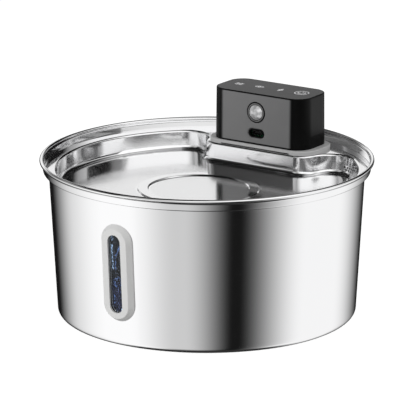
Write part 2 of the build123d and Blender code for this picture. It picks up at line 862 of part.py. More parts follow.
can_radius = 4.1
can_height = 4.2
can_corner = 0.4
can_brim = 0.5
board_plane = Plane(origin=(0, board_front, 0), x_dir=(1, 0, 0), z_dir=(0, -1, 0))
with BuildPart() as pir_sensor:
    with BuildSketch(board_plane):
        with Locations((0, sensor_z)):
            Circle(can_radius)
    extrude(amount=can_height)
    fillet(pir_sensor.edges().sort_by(Axis.Y)[0], radius=can_corner)
    with BuildSketch(board_plane):
        with Locations((0, sensor_z)):
            Circle(can_radius + can_brim)
    extrude(amount=can_brim)

socket_width = 8.94
socket_height = 3.2
socket_wall = 0.3
socket_length = 7.0
socket_back = 1.0
tongue_width = 6.7
tongue_thick = 0.7
tongue_length = 5.0
with BuildPart() as usb_socket:
    with BuildSketch(board_plane):
        with Locations((0, port_z)):
            SlotOverall(socket_width, socket_height)
    extrude(amount=socket_length)
    with BuildSketch(board_plane.offset(socket_back)):
        with Locations((0, port_z)):
            SlotOverall(socket_width - 2 * socket_wall, socket_height - 2 * socket_wall)
    extrude(amount=socket_length, mode=Mode.SUBTRACT)

with BuildPart() as usb_tongue:
    with BuildSketch(board_plane.offset(socket_back)):
        with Locations((0, port_z)):
            Rectangle(tongue_width, tongue_thick)
    extrude(amount=tongue_length)

with BuildPart() as control_board:
    with BuildSketch(board_plane):
        with Locations((0, (board_low + board_high) / 2)):
            Rectangle(board_width, board_high - board_low)
    extrude(amount=-board_thick)

cell_radius = 10.6
cell_length = 70.0
cell_y = 95.5
cell_z = 137.0
cell_edge = 0.6
pole_radius = 3.2
pole_height = 1.2
with BuildPart() as battery_cell:
    with BuildSketch(Plane.YZ.offset(-cell_length / 2)):
        with Locations((cell_y, cell_z)):
            Circle(cell_radius)
    extrude(amount=cell_length)
    chamfer(battery_cell.edges().group_by(Axis.X)[0], length=cell_edge)
    with BuildSketch(Plane.YZ.offset(cell_length / 2)):
        with Locations((cell_y, cell_z)):
            Circle(pole_radius)
    extrude(amount=pole_height)


# ---------------------------------------------------------------- controller base and drive

base_gap = 0.1
motor_seat = 46.4
motor_flange = 1.5
motor_radius = 11.2
motor_height = 20.0
motor_corner = 0.8
motor_cap = 0.5
stem_inner = stem_radius - stem_wall
magnet_gap = 1.0
magnet_lift = 0.9
drive_magnet_bottom = stem_bottom + stem_wall + magnet_lift
drive_magnet_height = 3.4
shaft_top = 61.0
saddle_x = 28.0
saddle_thick = 2.4
saddle_top = 134.0
saddle_depth = 20.0
stem_corner = 1.2

# The base closes the housing, carries the battery on two saddles and reaches down as a
# sealed stem, with the motor standing on a step above the drive magnet.
with BuildPart() as controller_base:
    with BuildSketch(Plane.XY.offset(dock_top)):
        with Locations((0, drive_y)):
            RectangleRounded(*box_plan_offset(lower_wall + base_gap))
    extrude(amount=base_thick)
    with BuildSketch(Plane.XY.offset(stem_bottom)):
        with Locations((0, drive_y)):
            Circle(stem_radius)
    extrude(amount=dock_top - stem_bottom)
    fillet(controller_base.edges().group_by(Axis.Z)[0], radius=stem_corner)
    with BuildSketch(Plane.XY.offset(dock_top + base_thick)):
        with Locations((-saddle_x, cell_y), (saddle_x, cell_y)):
            Rectangle(saddle_thick, saddle_depth)
    extrude(amount=saddle_top - dock_top - base_thick)
    with BuildSketch(Plane.YZ.offset(-cell_length / 2)):
        with Locations((cell_y, cell_z)):
            Circle(cell_radius)
    extrude(amount=cell_length, mode=Mode.SUBTRACT)
    with BuildSketch(Plane.XY.offset(motor_seat)):
        with Locations((0, drive_y)):
            Circle(stem_inner)
    extrude(amount=dock_top + base_thick - motor_seat, mode=Mode.SUBTRACT)
    with BuildSketch(Plane.XY.offset(stem_bottom + stem_wall)):
        with Locations((0, drive_y)):
            Circle(stem_inner - magnet_gap)
    extrude(amount=motor_seat - stem_bottom, mode=Mode.SUBTRACT)
    with BuildSketch(Plane.XY.offset(dock_top)):
        with Locations(*base_screw_spots):
            Circle(screw_radius)
    extrude(amount=base_thick, mode=Mode.SUBTRACT)
    with BuildSketch(Plane.XY.offset(dock_top)):
        with Locations(*base_screw_spots):
            Circle(screw_head + head_gap)
    extrude(amount=screw_head_height, mode=Mode.SUBTRACT)

with BuildPart() as base_gasket:
    with BuildSketch(Plane.XY.offset(dock_top + base_thick)):
        with Locations((0, drive_y)):
            RectangleRounded(*box_plan_offset(lower_wall + base_gap))
            RectangleRounded(*box_plan_offset(box_wall), mode=Mode.SUBTRACT)
        with Locations(*base_screw_spots):
            Circle(post_radius, mode=Mode.SUBTRACT)
    extrude(amount=ledge_drop - base_thick)

base_screws = screws(base_screw_spots, post_top - screw_tip_gap - tip_gap, dock_top + screw_head_height)

with BuildPart() as motor:
    with BuildSketch(Plane.XY.offset(motor_seat)):
        with Locations((0, drive_y)):
            Circle(stem_inner - base_gap)
    extrude(amount=motor_flange)
    with BuildSketch(Plane.XY.offset(motor_seat + motor_flange)):
        with Locations((0, drive_y)):
            Circle(motor_radius)
    extrude(amount=motor_height - motor_flange)
    fillet(motor.edges().group_by(Axis.Z)[-1], radius=motor_corner)
    with BuildSketch(Plane.XY.offset(motor_seat)):
        with Locations((0, drive_y)):
            Circle(shaft_radius + running_gap)
    extrude(amount=shaft_top - motor_seat + motor_cap, mode=Mode.SUBTRACT)

with BuildPart() as motor_shaft:
    with BuildSketch(Plane.XY.offset(drive_magnet_bottom)):
        with Locations((0, drive_y)):
            Circle(shaft_radius)
    extrude(amount=shaft_top - drive_magnet_bottom)

with BuildPart() as drive_magnet:
    with BuildSketch(Plane.XY.offset(drive_magnet_bottom)):
        with Locations((0, drive_y)):
            Circle(magnet_radius)
            Circle(shaft_radius, mode=Mode.SUBTRACT)
    extrude(amount=drive_magnet_height)

# Two stiff leads run straight up the stem and end on the board's rear face.
lead_radius = 0.8
lead_x = 2.0
lead_gap = 0.05
lead_top = 127.0
with BuildPart() as motor_leads:
    with BuildSketch(Plane.XY.offset(motor_seat + motor_height)):
        with Locations((0, board_front + board_thick + lead_radius + lead_gap)):
            with GridLocations(2 * lead_x, 0, 2, 1):
                Circle(lead_radius)
    extrude(amount=lead_top - motor_seat - motor_height)

board_head_radius = 1.7
board_head_height = 1.2
with BuildPart() as board_screws:
    with BuildSketch(board_plane.offset(-board_thick)):
        with Locations(*board_posts):
            Circle(board_head_radius)
    extrude(amount=-board_head_height)


# ---------------------------------------------------------------- output

pieces = {
    "tank_bowl": tank_bowl,
    "window_bezel": window_bezel,
    "window_lens": window_lens,
    "window_gasket": window_gasket,
    "window_clamp": window_clamp,
    "drinking_tray": drinking_tray,
    "dock": dock,
    "dock_gasket": dock_gasket,
    "well_seal": well_seal,
    "dock_screws": dock_screws,
    "pump_column": pump_column,
    "clamp_ring": clamp_ring,
    "riser_tube": riser_tube,
    "pump_cover": pump_cover,
    "cover_screws": cover_screws,
    "impeller_shaft": impeller_shaft,
    "impeller": impeller,
    "impeller_magnet": impeller_magnet,
    "filter_basket": filter_basket,
    "carbon_filter": carbon_filter,
    "foam_filter": foam_filter,
    "controller_housing": controller_housing,
    "touch_panel": touch_panel,
    "touch_board": touch_board,
    "lens_ring": lens_ring,
    "pir_lens": pir_lens,
    "pir_sensor": pir_sensor,
    "usb_socket": usb_socket,
    "usb_tongue": usb_tongue,
    "control_board": control_board,
    "board_screws": board_screws,
    "battery_cell": battery_cell,
    "controller_base": controller_base,
    "base_gasket": base_gasket,
    "base_screws": base_screws,
    "motor": motor,
    "motor_leads": motor_leads,
    "motor_shaft": motor_shaft,
    "drive_magnet": drive_magnet,
}

for name, piece in pieces.items():
    piece.part.label = name
    export_step(piece.part, f"parts/{name}.step")
    print(name, len(piece.part.solids()), round(piece.part.volume / 1000, 2), "cm3")
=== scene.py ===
import math

import bmesh
import bpy
import numpy as np
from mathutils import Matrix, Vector


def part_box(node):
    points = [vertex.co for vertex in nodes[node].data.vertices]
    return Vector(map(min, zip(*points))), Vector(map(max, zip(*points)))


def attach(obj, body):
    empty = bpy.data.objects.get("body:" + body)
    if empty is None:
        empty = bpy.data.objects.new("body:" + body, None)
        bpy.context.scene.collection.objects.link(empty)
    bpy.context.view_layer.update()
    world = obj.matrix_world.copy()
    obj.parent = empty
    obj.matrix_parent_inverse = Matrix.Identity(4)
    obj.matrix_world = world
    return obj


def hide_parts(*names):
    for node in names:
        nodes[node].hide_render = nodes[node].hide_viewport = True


# Pet water fountain: steel tank with a level window, lift-out drinking tray, cordless controller on a dock.
# Meshes are in metres, and settings are in millimetres where their comment says so. The window faces -Y
# and the controller stands at +Y.

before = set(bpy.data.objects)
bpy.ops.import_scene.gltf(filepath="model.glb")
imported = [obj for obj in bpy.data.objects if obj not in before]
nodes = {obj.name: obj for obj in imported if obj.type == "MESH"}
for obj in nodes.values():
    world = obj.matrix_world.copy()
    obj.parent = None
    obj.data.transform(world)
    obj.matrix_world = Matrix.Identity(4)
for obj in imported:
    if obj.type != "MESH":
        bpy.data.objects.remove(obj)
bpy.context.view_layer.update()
print("frame loaded:", len(nodes), "nodes")

mm = 0.001


class Signal:
    # One output of a shader node. Python's operators on it add Math nodes, from either side.

    def __init__(self, shader, socket):
        self.shader = shader
        self.socket = socket

    def math(self, operation, *others, clamp=False):
        return self.shader.add("Math", {"operation": operation, "use_clamp": clamp}, [self, *others])

    def __add__(self, other):
        return self.math("ADD", other)

    def __radd__(self, other):
        return self.math("ADD", other)

    def __sub__(self, other):
        return self.math("SUBTRACT", other)

    def __rsub__(self, other):
        return self.shader.add("Math", {"operation": "SUBTRACT"}, [other, self])

    def __mul__(self, other):
        return self.math("MULTIPLY", other)

    def __rmul__(self, other):
        return self.math("MULTIPLY", other)

    def __truediv__(self, other):
        return self.math("DIVIDE", other)

    def __rtruediv__(self, other):
        return self.shader.add("Math", {"operation": "DIVIDE"}, [other, self])

    def smooth(self, low, high):
        # 0 before low, 1 beyond high, and an even S between them; low above high turns it round.
        sockets = {"Value": self, "From Min": low, "From Max": high, "To Min": 0.0, "To Max": 1.0}
        return self.shader.add("MapRange", {"interpolation_type": "SMOOTHSTEP"}, sockets)

    def band(self, low, high, edge):
        # 1 between low and high, fading to 0 over edge on either side.
        return self.smooth(low - edge / 2, low + edge / 2) * self.smooth(high + edge / 2, high - edge / 2)


class Shader:
    # A material's or the world's nodes. Every node but the Math ones comes from add.

    def __init__(self, name="", tree=None):
        if tree is None:
            self.material = bpy.data.materials.new(name)
            self.material.use_nodes = True
            tree = self.material.node_tree
        self.tree = tree
        self.tree.nodes.clear()

    def add(self, kind, settings=None, sockets=None, output=0):
        node = self.tree.nodes.new("ShaderNode" + kind)
        for key, value in (settings or {}).items():
            setattr(node, key, value)
        given = sockets.items() if isinstance(sockets, dict) else enumerate(sockets or [])
        for key, value in given:
            socket = node.inputs[key]
            if isinstance(value, Signal):
                self.tree.links.new(value.socket, socket)
            elif value is not None:
                socket.default_value = (*value, 1.0) if socket.type == "RGBA" and len(value) == 3 else value
        if isinstance(output, (list, tuple)):
            return [Signal(self, node.outputs[name]) for name in output]
        return Signal(self, node.outputs[output])

    def place(self):
        return self.add("TexCoord", output="Object")

    def parts(self, vector):
        return self.add("SeparateXYZ", None, [vector], ["X", "Y", "Z"])

    def vector(self, x, y, z):
        return self.add("CombineXYZ", None, [x, y, z])

    def scaled(self, vector, by):
        return self.add("VectorMath", {"operation": "MULTIPLY"}, [vector, by])

    def noise(self, vector, scale, detail=2.0, roughness=0.5):
        return self.add("TexNoise", None,
                        {"Vector": vector, "Scale": scale, "Detail": detail, "Roughness": roughness})

    def cells(self, vector, scale, feature="F1"):
        return self.add("TexVoronoi", {"feature": feature}, {"Vector": vector, "Scale": scale}, "Distance")

    def blend(self, first, second, amount):
        return self.add("Mix", {"data_type": "RGBA"}, {0: amount, 6: first, 7: second}, 2)

    def bump(self, height, distance):
        return self.add("Bump", None, {"Height": height, "Distance": distance})

    def surface(self, sockets):
        shine = self.add("BsdfPrincipled", None, sockets)
        self.add("OutputMaterial", None, {"Surface": shine}, [])
        return self.material


def reachOf(across, along):
    # How far a point lies from zero, from its two measures.
    return (across * across + along * along).math("SQRT")


def slotReach(along, across, straight):
    # How far a point lies from a slot's middle line, which ends at straight on either side of zero.
    return reachOf((along.math("ABSOLUTE") - straight).math("MAXIMUM", 0.0), across)


def toned(colour, factor):
    # A darker or lighter colour.
    return tuple(factor * part for part in colour)


def dress(material, *names):
    # Puts a material on whole CAD nodes.
    for name in names:
        piece = nodes[name]
        piece.data.materials.clear()
        piece.data.materials.append(material)


cameraSettings = {
    "azimuth": 34.0, "elevation": 15.44, "distance": 2.762,
    "aside": 0.00085, "height": 0.08233,
    "lens": 306.6, "sensor": 36.0, "clip": (0.1, 50.0),
}


def outwards(azimuth, elevation):
    # The direction away from the fountain: through the window at azimuth 0, and to the right at 90.
    turn, rise = math.radians(azimuth), math.radians(elevation)
    return Vector((math.sin(turn) * math.cos(rise), -math.cos(turn) * math.cos(rise), math.sin(rise)))


def aimed(name, data, target, back, distance):
    # Stands a camera or a lamp away from its target, looking at it.
    thing = bpy.data.objects.new(name, data)
    bpy.context.scene.collection.objects.link(thing)
    thing.location = target + back * distance
    thing.rotation_mode = "QUATERNION"
    thing.rotation_quaternion = (-back).to_track_quat("-Z", "Y")
    return thing


def makeCamera(settings):
    back = outwards(settings["azimuth"], settings["elevation"])
    right = outwards(settings["azimuth"] + 90.0, 0.0)
    target = right * settings["aside"] + Vector((0.0, 0.0, settings["height"]))
    data = bpy.data.cameras.new("camera")
    data.lens = settings["lens"]
    data.sensor_width = settings["sensor"]
    data.clip_start, data.clip_end = settings["clip"]
    bpy.context.scene.camera = aimed("camera", data, target, back, settings["distance"])


makeCamera(cameraSettings)
print("camera placed")

# Soft cards round the fountain. A turn is in degrees to the right of the camera's side, a rise in
# degrees above the horizon, and each pair says where a card's edge starts and ends.
studioSettings = {
    "front": cameraSettings["azimuth"],
    "darkest": 0.01,  # the level where no card is
    "fill": 0.50,  # the level that matt surfaces see all round
    "horizon": (-4.0, 4.0),
    "nadir": (-66.0, -50.0), "nadirLevel": 0.025,
    "lowCards": {
        "leftBox": {"level": 0.66, "left": (-157.0, -116.0), "right": (20.0, -18.0)},
        "leftGlow": {"level": 0.43, "left": (-138.0, -82.0), "right": (-22.0, -62.0)},
        "rightBox": {"level": 1.02, "left": (24.0, 80.0), "right": (168.0, 112.0)},
    },
    "lowFlag": {"level": 0.45, "left": (-46.0, -28.0), "right": (62.0, 44.0), "top": (-38.0, -46.0)},
    "highCards": {
        "frontBox": {"level": 1.12, "left": (-56.0, 0.0), "right": (128.0, 72.0),
                     "bottom": (-20.0, 14.0), "top": (70.0, 48.0)},
        "rightTop": {"level": 0.3, "left": (16.0, 50.0), "right": (150.0, 116.0), "bottom": (38.0, 54.0)},
        "ceiling": {"level": 0.2, "left": (40.0, 90.0), "right": (200.0, 190.0), "bottom": (50.0, 72.0)},
        "leftFill": {"level": 0.15, "left": (-178.0, -160.0), "right": (0.0, -30.0), "top": (46.0, 32.0)},
        "middleFill": {"level": 0.4, "left": (-69.0, -62.0), "right": (-38.0, -54.0),
                       "bottom": (10.0, 20.0), "top": (56.0, 46.0)},
        "leftStrip": {"level": 0.42, "left": (-128.0, -116.0), "right": (-90.0, -104.0),
                      "bottom": (16.0, 21.0), "top": (31.0, 26.0)},
        "rightFill": {"level": 0.32, "left": (76.0, 100.0), "right": (132.0, 120.0), "top": (44.0, 32.0)},
    },
    "highFlag": {"level": 0.8, "left": (-84.0, -76.0), "right": (-62.0, -69.0), "bottom": (12.0, 18.0)},
    "backGlow": {"level": 0.92, "left": (-22.0, -8.0), "right": (50.0, 26.0),
                 "bottom": (2.0, 9.0), "top": (23.0, 16.0)},
}


def card(turn, rise, settings):
    # The light of one card, which may be open at the bottom or the top.
    light = turn.smooth(*settings["left"]) * turn.smooth(*settings["right"])
    for edge in ("bottom", "top"):
        if edge in settings:
            light = light * rise.smooth(*settings[edge])
    return light * settings["level"]


def cardSum(turn, rise, cards):
    return sum(card(turn, rise, settings) for settings in cards.values())


def makeStudio(settings):
    # Low cards are below the horizon and high cards above it. A flag takes its share away from them. The
    # camera sees white, also through the lens.
    world = bpy.data.worlds.new("studio")
    bpy.context.scene.world = world
    world.use_nodes = True
    world.cycles.sampling_method = "NONE"
    sky = Shader(tree=world.node_tree)
    x, y, z = sky.parts(sky.add("TexCoord", output="Generated"))
    front = math.radians(settings["front"])
    toFront = x * math.sin(front) - y * math.cos(front)
    toRight = x * math.cos(front) + y * math.sin(front)
    degrees = math.degrees(1.0)
    turn = toRight.math("ARCTAN2", toFront) * degrees
    turnBehind = (toRight * -1.0).math("ARCTAN2", toFront * -1.0) * degrees
    rise = z.math("ARCSINE") * degrees
    low = cardSum(turn, rise, settings["lowCards"]) * (1.0 - card(turn, rise, settings["lowFlag"]))
    low = (low - settings["nadirLevel"]) * rise.smooth(*settings["nadir"]) + settings["nadirLevel"]
    high = cardSum(turn, rise, settings["highCards"]) * (1.0 - card(turn, rise, settings["highFlag"]))
    high = high + card(turnBehind, rise, settings["backGlow"])
    level = low + rise.smooth(*settings["horizon"]) * (high - low) + settings["darkest"]
    rays = ["Is Camera Ray", "Is Diffuse Ray", "Is Transmission Ray"]
    camera, diffuse, through = sky.add("LightPath", output=rays)
    white = camera.math("MAXIMUM", through)
    level = level + diffuse * (settings["fill"] - level)
    level = level + white * (1.0 - level)
    light = sky.add("Background", None, {"Color": (1.0, 1.0, 1.0), "Strength": level})
    sky.add("OutputWorld", None, {"Surface": light}, [])


makeStudio(studioSettings)

lampTarget = Vector((0.0, 0.0, 0.08))
lampSettings = {
    "keyLamp": {"turn": -48.0, "rise": 16.0, "distance": 1.7, "size": 0.7, "power": 13.0},
    "topLamp": {"turn": 0.0, "rise": 80.0, "distance": 1.6, "size": 1.0, "power": 0.8},
    "rimLamp": {"turn": 84.0, "rise": 20.0, "distance": 1.7, "size": 0.8, "power": 12.0},
}


def makeLamp(name, settings):
    data = bpy.data.lights.new(name, "AREA")
    data.shape = "SQUARE"
    data.size = settings["size"]
    data.energy = settings["power"]
    back = outwards(studioSettings["front"] + settings["turn"], settings["rise"])
    lamp = aimed(name, data, lampTarget, back, settings["distance"])
    lamp.visible_camera = False
    lamp.visible_glossy = False


for lampName, lampChoice in lampSettings.items():
    makeLamp(lampName, lampChoice)


def gridFaces(rows, columns, closed):
    # Each face joins a point with its next along both parameters. In a closed grid the last column
    # joins the first. Returns the corners' numbers.
    i, j = np.meshgrid(np.arange(rows - 1), np.arange(columns if closed else columns - 1), indexing="ij")
    k = (j + 1) % columns
    here, there = i * columns, (i + 1) * columns
    return np.stack([here + j, there + j, there + k, here + k], axis=-1)


def meshPiece(name, points, faces, weld=False):
    # points are (n, 3) in metres and faces (m, 4) numbers of points, counter-clockwise from outside.
    mesh = bpy.data.meshes.new(name)
    mesh.vertices.add(len(points))
    mesh.vertices.foreach_set("co", np.ascontiguousarray(points, dtype=np.float32).ravel())
    mesh.loops.add(faces.size)
    mesh.loops.foreach_set("vertex_index", faces.ravel().astype(np.int32))
    mesh.polygons.add(len(faces))
    mesh.polygons.foreach_set("loop_start", np.arange(0, faces.size, 4, dtype=np.int32))
    mesh.polygons.foreach_set("loop_total", np.full(len(faces), 4, dtype=np.int32))
    mesh.update(calc_edges=True)
    if weld:
        work = bmesh.new()
        work.from_mesh(mesh)
        bmesh.ops.remove_doubles(work, verts=work.verts, dist=1e-7)
        work.to_mesh(mesh)
        work.free()
    mesh.shade_smooth()
    piece = bpy.data.objects.new(name, mesh)
    bpy.context.scene.collection.objects.link(piece)
    return piece


def gridPiece(name, grids, closed=False, weld=False):
    # Several grids of points[i, j] in one mesh.
    points, faces, count = [], [], 0
    for grid in grids:
        rows, columns = grid.shape[:2]
        points.append(grid.reshape(-1, 3))
        faces.append(gridFaces(rows, columns, closed).reshape(-1, 4) + count)
        count += rows * columns
    return meshPiece(name, np.concatenate(points), np.concatenate(faces), weld)


floorSettings = {
    "size": 6.0, "steps": 24, "height": -0.0001,
    "colour": (0.50, 0.50, 0.50), "glow": 0.74, "grain": 900.0, "bump": 0.00002,
}


def makeFloor(settings):
    # A flat grid across and along. The paper glows to the camera only, so that it looks white.
    edge = np.linspace(-settings["size"] / 2, settings["size"] / 2, settings["steps"])
    across, along = np.meshgrid(edge, edge, indexing="ij")
    points = np.stack([across, along, np.full_like(across, settings["height"])], axis=-1)
    floor = gridPiece("floor", [points])
    paper = Shader("paperFloor")
    grain = paper.noise(paper.place(), settings["grain"], 3.0)
    matt = paper.add("BsdfDiffuse", None,
                     {"Color": settings["colour"], "Normal": paper.bump(grain, settings["bump"])})
    seen = paper.add("LightPath", output="Is Camera Ray")
    glow = paper.add("Emission", None, {"Strength": seen * settings["glow"]})
    paper.add("OutputMaterial", None, {"Surface": paper.add("AddShader", None, [matt, glow])}, [])
    floor.data.materials.append(paper.material)
    floor.visible_glossy = False


makeFloor(floorSettings)
print("studio built")

# A sheet has its wall's roughness and its floor's, and the one turns into the other between the heights
# in floorZ. Only the tray's floor is brushed, so the tank's two are the same.
steelSettings = {
    "tank": {"colour": (0.88, 0.88, 0.885), "roughness": 0.07, "floor": 0.07, "floorZ": (0.0, 0.001),
             "streaks": 0.025, "smudges": 0.02},
    "tray": {"colour": (0.89, 0.89, 0.895), "roughness": 0.085, "floor": 0.13, "floorZ": (0.10095, 0.10082),
             "streaks": 0.02, "smudges": 0.02},
}
drawingMarks = {"around": 1.5, "across": 900.0, "smudge": 22.0, "bump": 0.000001}
ridge = {"middleY": -0.0115, "inner": 0.0375, "outer": 0.0490, "edge": 0.0015}


def steel(name, settings):
    # Drawn sheet: fine streaks run round the axis, with soft smudges over them. The tray's floor is
    # brushed duller than its walls, and the pressed ridge in it is polished.
    skin = Shader(name)
    x, y, z = skin.parts(skin.place())
    radius = reachOf(x, y) + 0.0001  # never zero, because x and y are divided by it
    around, across = drawingMarks["around"], drawingMarks["across"]
    turned = skin.vector(x / radius * around, y / radius * around, (radius + z) * across)
    streak = skin.noise(turned, 1.0, 3.0, 0.6)
    smudge = skin.noise(skin.place(), drawingMarks["smudge"], 3.0)
    onRidge = reachOf(x, y - ridge["middleY"]).band(ridge["inner"], ridge["outer"], ridge["edge"])
    brushed = z.smooth(*settings["floorZ"]) * (1.0 - onRidge)
    rough = (settings["roughness"] + brushed * (settings["floor"] - settings["roughness"])
             + (streak - 0.5) * settings["streaks"] + (smudge - 0.5) * settings["smudges"])
    return skin.surface({"Base Color": settings["colour"], "Metallic": 1.0, "Roughness": rough,
                         "Normal": skin.bump(streak, drawingMarks["bump"])})


tankSteel = steel("tankSteel", steelSettings["tank"])
traySteel = steel("traySteel", steelSettings["tray"])

# The window in millimetres. Its plane lies on the wall's outer face at the window's middle, and its
# width and height are those of the clear part.
windowSettings = {"draft": 3.14, "footRadius": 116.7, "z": 59.0, "width": 11.3, "height": 62.1}

# The tank's sheet in millimetres: outer line from the axis to the bead, and the rounding of its corners.
tankSettings = {
    "line": [(0.0, 1.5), (97.0, 1.5), (100.0, 0.0), (116.7, 0.0),
             (122.97, 114.3), (127.2, 114.3), (128.5, 122.4)],
    "radii": [1.5, 1.5, 4.5, 0.9, 1.2],
    "sheet": 0.7, "bead": 1.5, "slotWidth": 23.4, "slotHeight": 73.6, "slotSide": -100.0,
    # How finely the sheet is divided.
    "arcSteps": 9, "beadSteps": 42, "collarSteps": 4, "bottomRadii": (0.0, 25.0, 55.0, 80.0),
    "wallLow": 16.0, "wallHigh": 102.0, "wallStep": 1.0, "wallEndSteps": 6,
    "windowTurns": (-98.5, -81.5, 35), "otherTurns": 139,
}


def rounded(corners, radii, steps):
    # Each inner corner becomes an arc that touches both of its runs. It starts radius / tan(half
    # the corner's angle) before the corner, and its centre lies on the angle's halving line.
    corners, radii = np.asarray(corners, float), np.asarray(radii, float)[:, None]
    middle = corners[1:-1]
    before, after = corners[:-2] - middle, corners[2:] - middle
    before /= np.linalg.norm(before, axis=1, keepdims=True)
    after /= np.linalg.norm(after, axis=1, keepdims=True)
    half = np.arccos((before * after).sum(axis=1, keepdims=True)) / 2
    halving = before + after
    halving /= np.linalg.norm(halving, axis=1, keepdims=True)
    centre = middle + halving * radii / np.sin(half)
    first = (middle + before * radii / np.tan(half) - centre)[:, None]
    last = (middle + after * radii / np.tan(half) - centre)[:, None]
    whole = (math.pi - 2 * half)[:, None]
    share = np.linspace(0.0, 1.0, steps)[None, :, None]
    sweep = np.sin((1 - share) * whole) * first + np.sin(share * whole) * last
    return centre[:, None] + sweep / np.sin(whole)


def offset(line, distance):
    # Each point moves to the left of the line's direction there.
    along = np.gradient(line, axis=0)
    along /= np.linalg.norm(along, axis=1, keepdims=True)
    return line + distance * np.stack([-along[:, 1], along[:, 0]], axis=1)


def tankOutline(settings):
    # The sheet's closed outline: outer line, bead, and the inner line back. Each row is a radius and
    # a height in millimetres. Also returns how many rows the outer line has.
    line, sheet, bead = settings["line"], settings["sheet"], settings["bead"]
    bottom, panel, foot, ledge, neck = rounded(line, settings["radii"], settings["arcSteps"])
    wallLow, wallHigh, ends = settings["wallLow"], settings["wallHigh"], settings["wallEndSteps"]
    heights = np.concatenate([np.linspace(foot[-1, 1], wallLow, ends)[1:-1],
                              np.arange(wallLow, wallHigh, settings["wallStep"]),
                              np.linspace(wallHigh, ledge[0, 1], ends)[1:-1]])
    radii = np.interp(heights, [foot[-1, 1], ledge[0, 1]], [foot[-1, 0], ledge[0, 0]])
    wall = np.stack([radii, heights], axis=1)
    end = np.array(line[-1])
    run = end - np.array(line[-2])
    run /= np.linalg.norm(run)
    side = np.array([-run[1], run[0]])
    flat = np.stack([settings["bottomRadii"], np.full(len(settings["bottomRadii"]), line[0][1])], axis=1)
    share = np.linspace(0.0, 1.0, settings["collarSteps"] + 1)[1:, None]
    collar = neck[-1] + (end - bead * run - neck[-1]) * share
    outer = np.concatenate([flat, bottom, panel, foot, wall, ledge, neck, collar])
    inner = offset(outer, sheet)
    inner[0] = (0.0, line[0][1] + sheet)
    inner[-1] = end + side * sheet - run * math.sqrt(bead ** 2 - sheet ** 2)
    start = math.atan2(-run[1], -run[0])
    finish = math.atan2(*(inner[-1] - end)[::-1]) + 2 * math.pi
    angles = np.linspace(start, finish, settings["beadSteps"])[1:-1]
    roll = end + bead * np.stack([np.cos(angles), np.sin(angles)], axis=1)
    return np.concatenate([outer, roll, inner[::-1]]), len(outer)


def slotFaces(points, count, settings):
    # The window's slot: faces within a slot shape go, and short faces join its outer and inner edges.
    # Row i of the outer line has its inner row at mirror[i].
    rows, columns = points.shape[:2]
    faces = gridFaces(rows, columns, closed=True)[:, :, ::-1]
    middle = points.reshape(-1, 3)[faces].mean(axis=2) / mm
    half = settings["slotWidth"] / 2
    straight = settings["slotHeight"] / 2 - half
    past = np.maximum(np.abs(middle[..., 2] - windowSettings["z"]) - straight, 0.0)
    hole = (np.hypot(middle[..., 0], past) < half) & (middle[..., 1] < settings["slotSide"])
    outerHole = hole[:count - 1]
    hole[rows - count:] = outerHole[::-1]
    mirror = rows - 1 - np.arange(rows)
    upper, lower = np.zeros((2, count, columns), bool)
    upper[:-1] = outerHole
    lower[1:] = outerHole
    bridges = []
    for edge, flip in ((upper & ~lower, False), (lower & ~upper, True)):
        i, j = np.nonzero(edge)
        k = (j + 1) % columns
        quad = np.stack([i * columns + j, i * columns + k, mirror[i] * columns + k,
                         mirror[i] * columns + j], axis=1)
        bridges.append(quad[:, ::-1] if flip else quad)
    for shift, flip in ((1, True), (-1, False)):
        i, j = np.nonzero(outerHole & ~np.roll(outerHole, shift, axis=1))
        k = (j + (0 if shift == 1 else 1)) % columns
        quad = np.stack([i * columns + k, (i + 1) * columns + k, mirror[i + 1] * columns + k,
                         mirror[i] * columns + k], axis=1)
        bridges.append(quad[:, ::-1] if flip else quad)
    return np.concatenate([faces[~hole], *bridges])


def makeTank(settings):
    # The sheet's outline turned about the axis, more finely at the window.
    outline, count = tankOutline(settings)
    start, finish, steps = settings["windowTurns"]
    others = np.linspace(finish, start + 360.0, settings["otherTurns"])[1:-1]
    turns = np.radians(np.concatenate([np.linspace(start, finish, steps), others]))
    radius, height = outline[:, :1] * mm, outline[:, 1:] * mm
    points = np.stack([radius * np.cos(turns), radius * np.sin(turns), height + 0.0 * turns], axis=-1)
    tank = meshPiece("tankSkin", points.reshape(-1, 3), slotFaces(points, count, settings), weld=True)
    tank.data.materials.append(tankSteel)
    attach(tank, "tank")
    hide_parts("tank_bowl")


makeTank(tankSettings)
dress(traySteel, "drinking_tray")
print("steel shaped")

# The water behind the lens in millimetres. A streak or glint has its start and end, from the window's middle,
# and its width. The streaks, the swirl and the glints are painted highlights on the water.
waterSettings = {
    "depth": -0.1, "ripple": 0.3, "steps": (61, 15),
    "deep": (0.022, 0.024, 0.030), "low": (0.028, 0.032, 0.066), "lowEnd": (-16.0, 2.0),
    "streak": (0.22, 0.36, 0.78), "paintedGlint": (0.55, 0.74, 1.0),
    "streaks": [((-1.3, 14.0), (2.4, 21.5), 1.0), ((2.4, 21.5), (3.7, 15.0), 0.9),
                ((-1.5, 13.0), (-1.6, 1.5), 0.8), ((-3.6, -25.0), (-3.9, -18.0), 0.8),
                ((3.9, 12.0), (4.6, -8.0), 0.5)],
    "paintedGlints": [((-4.4, 21.5), (-4.0, 3.0), 1.5), ((-3.8, 28.6), (-4.4, 26.0), 1.6),
               ((2.3, -28.6), (3.0, -28.2), 1.4)],
    "paintedSwirl": {"x": 0.3, "z": -7.5, "radius": 3.4, "width": 1.5, "strength": 0.6},
    "drift": 2.6, "driftScale": 260.0, "sway": 3.0, "swayScale": 420.0,
    "patchScale": 700.0, "patchEdge": (0.38, 0.58), "glintScale": 950.0, "glintEdge": (0.36, 0.52),
    "paintedStreakShare": 0.75, "roughness": 0.12, "roughPatches": 0.1, "specular": 0.1, "bump": 0.0004,
}


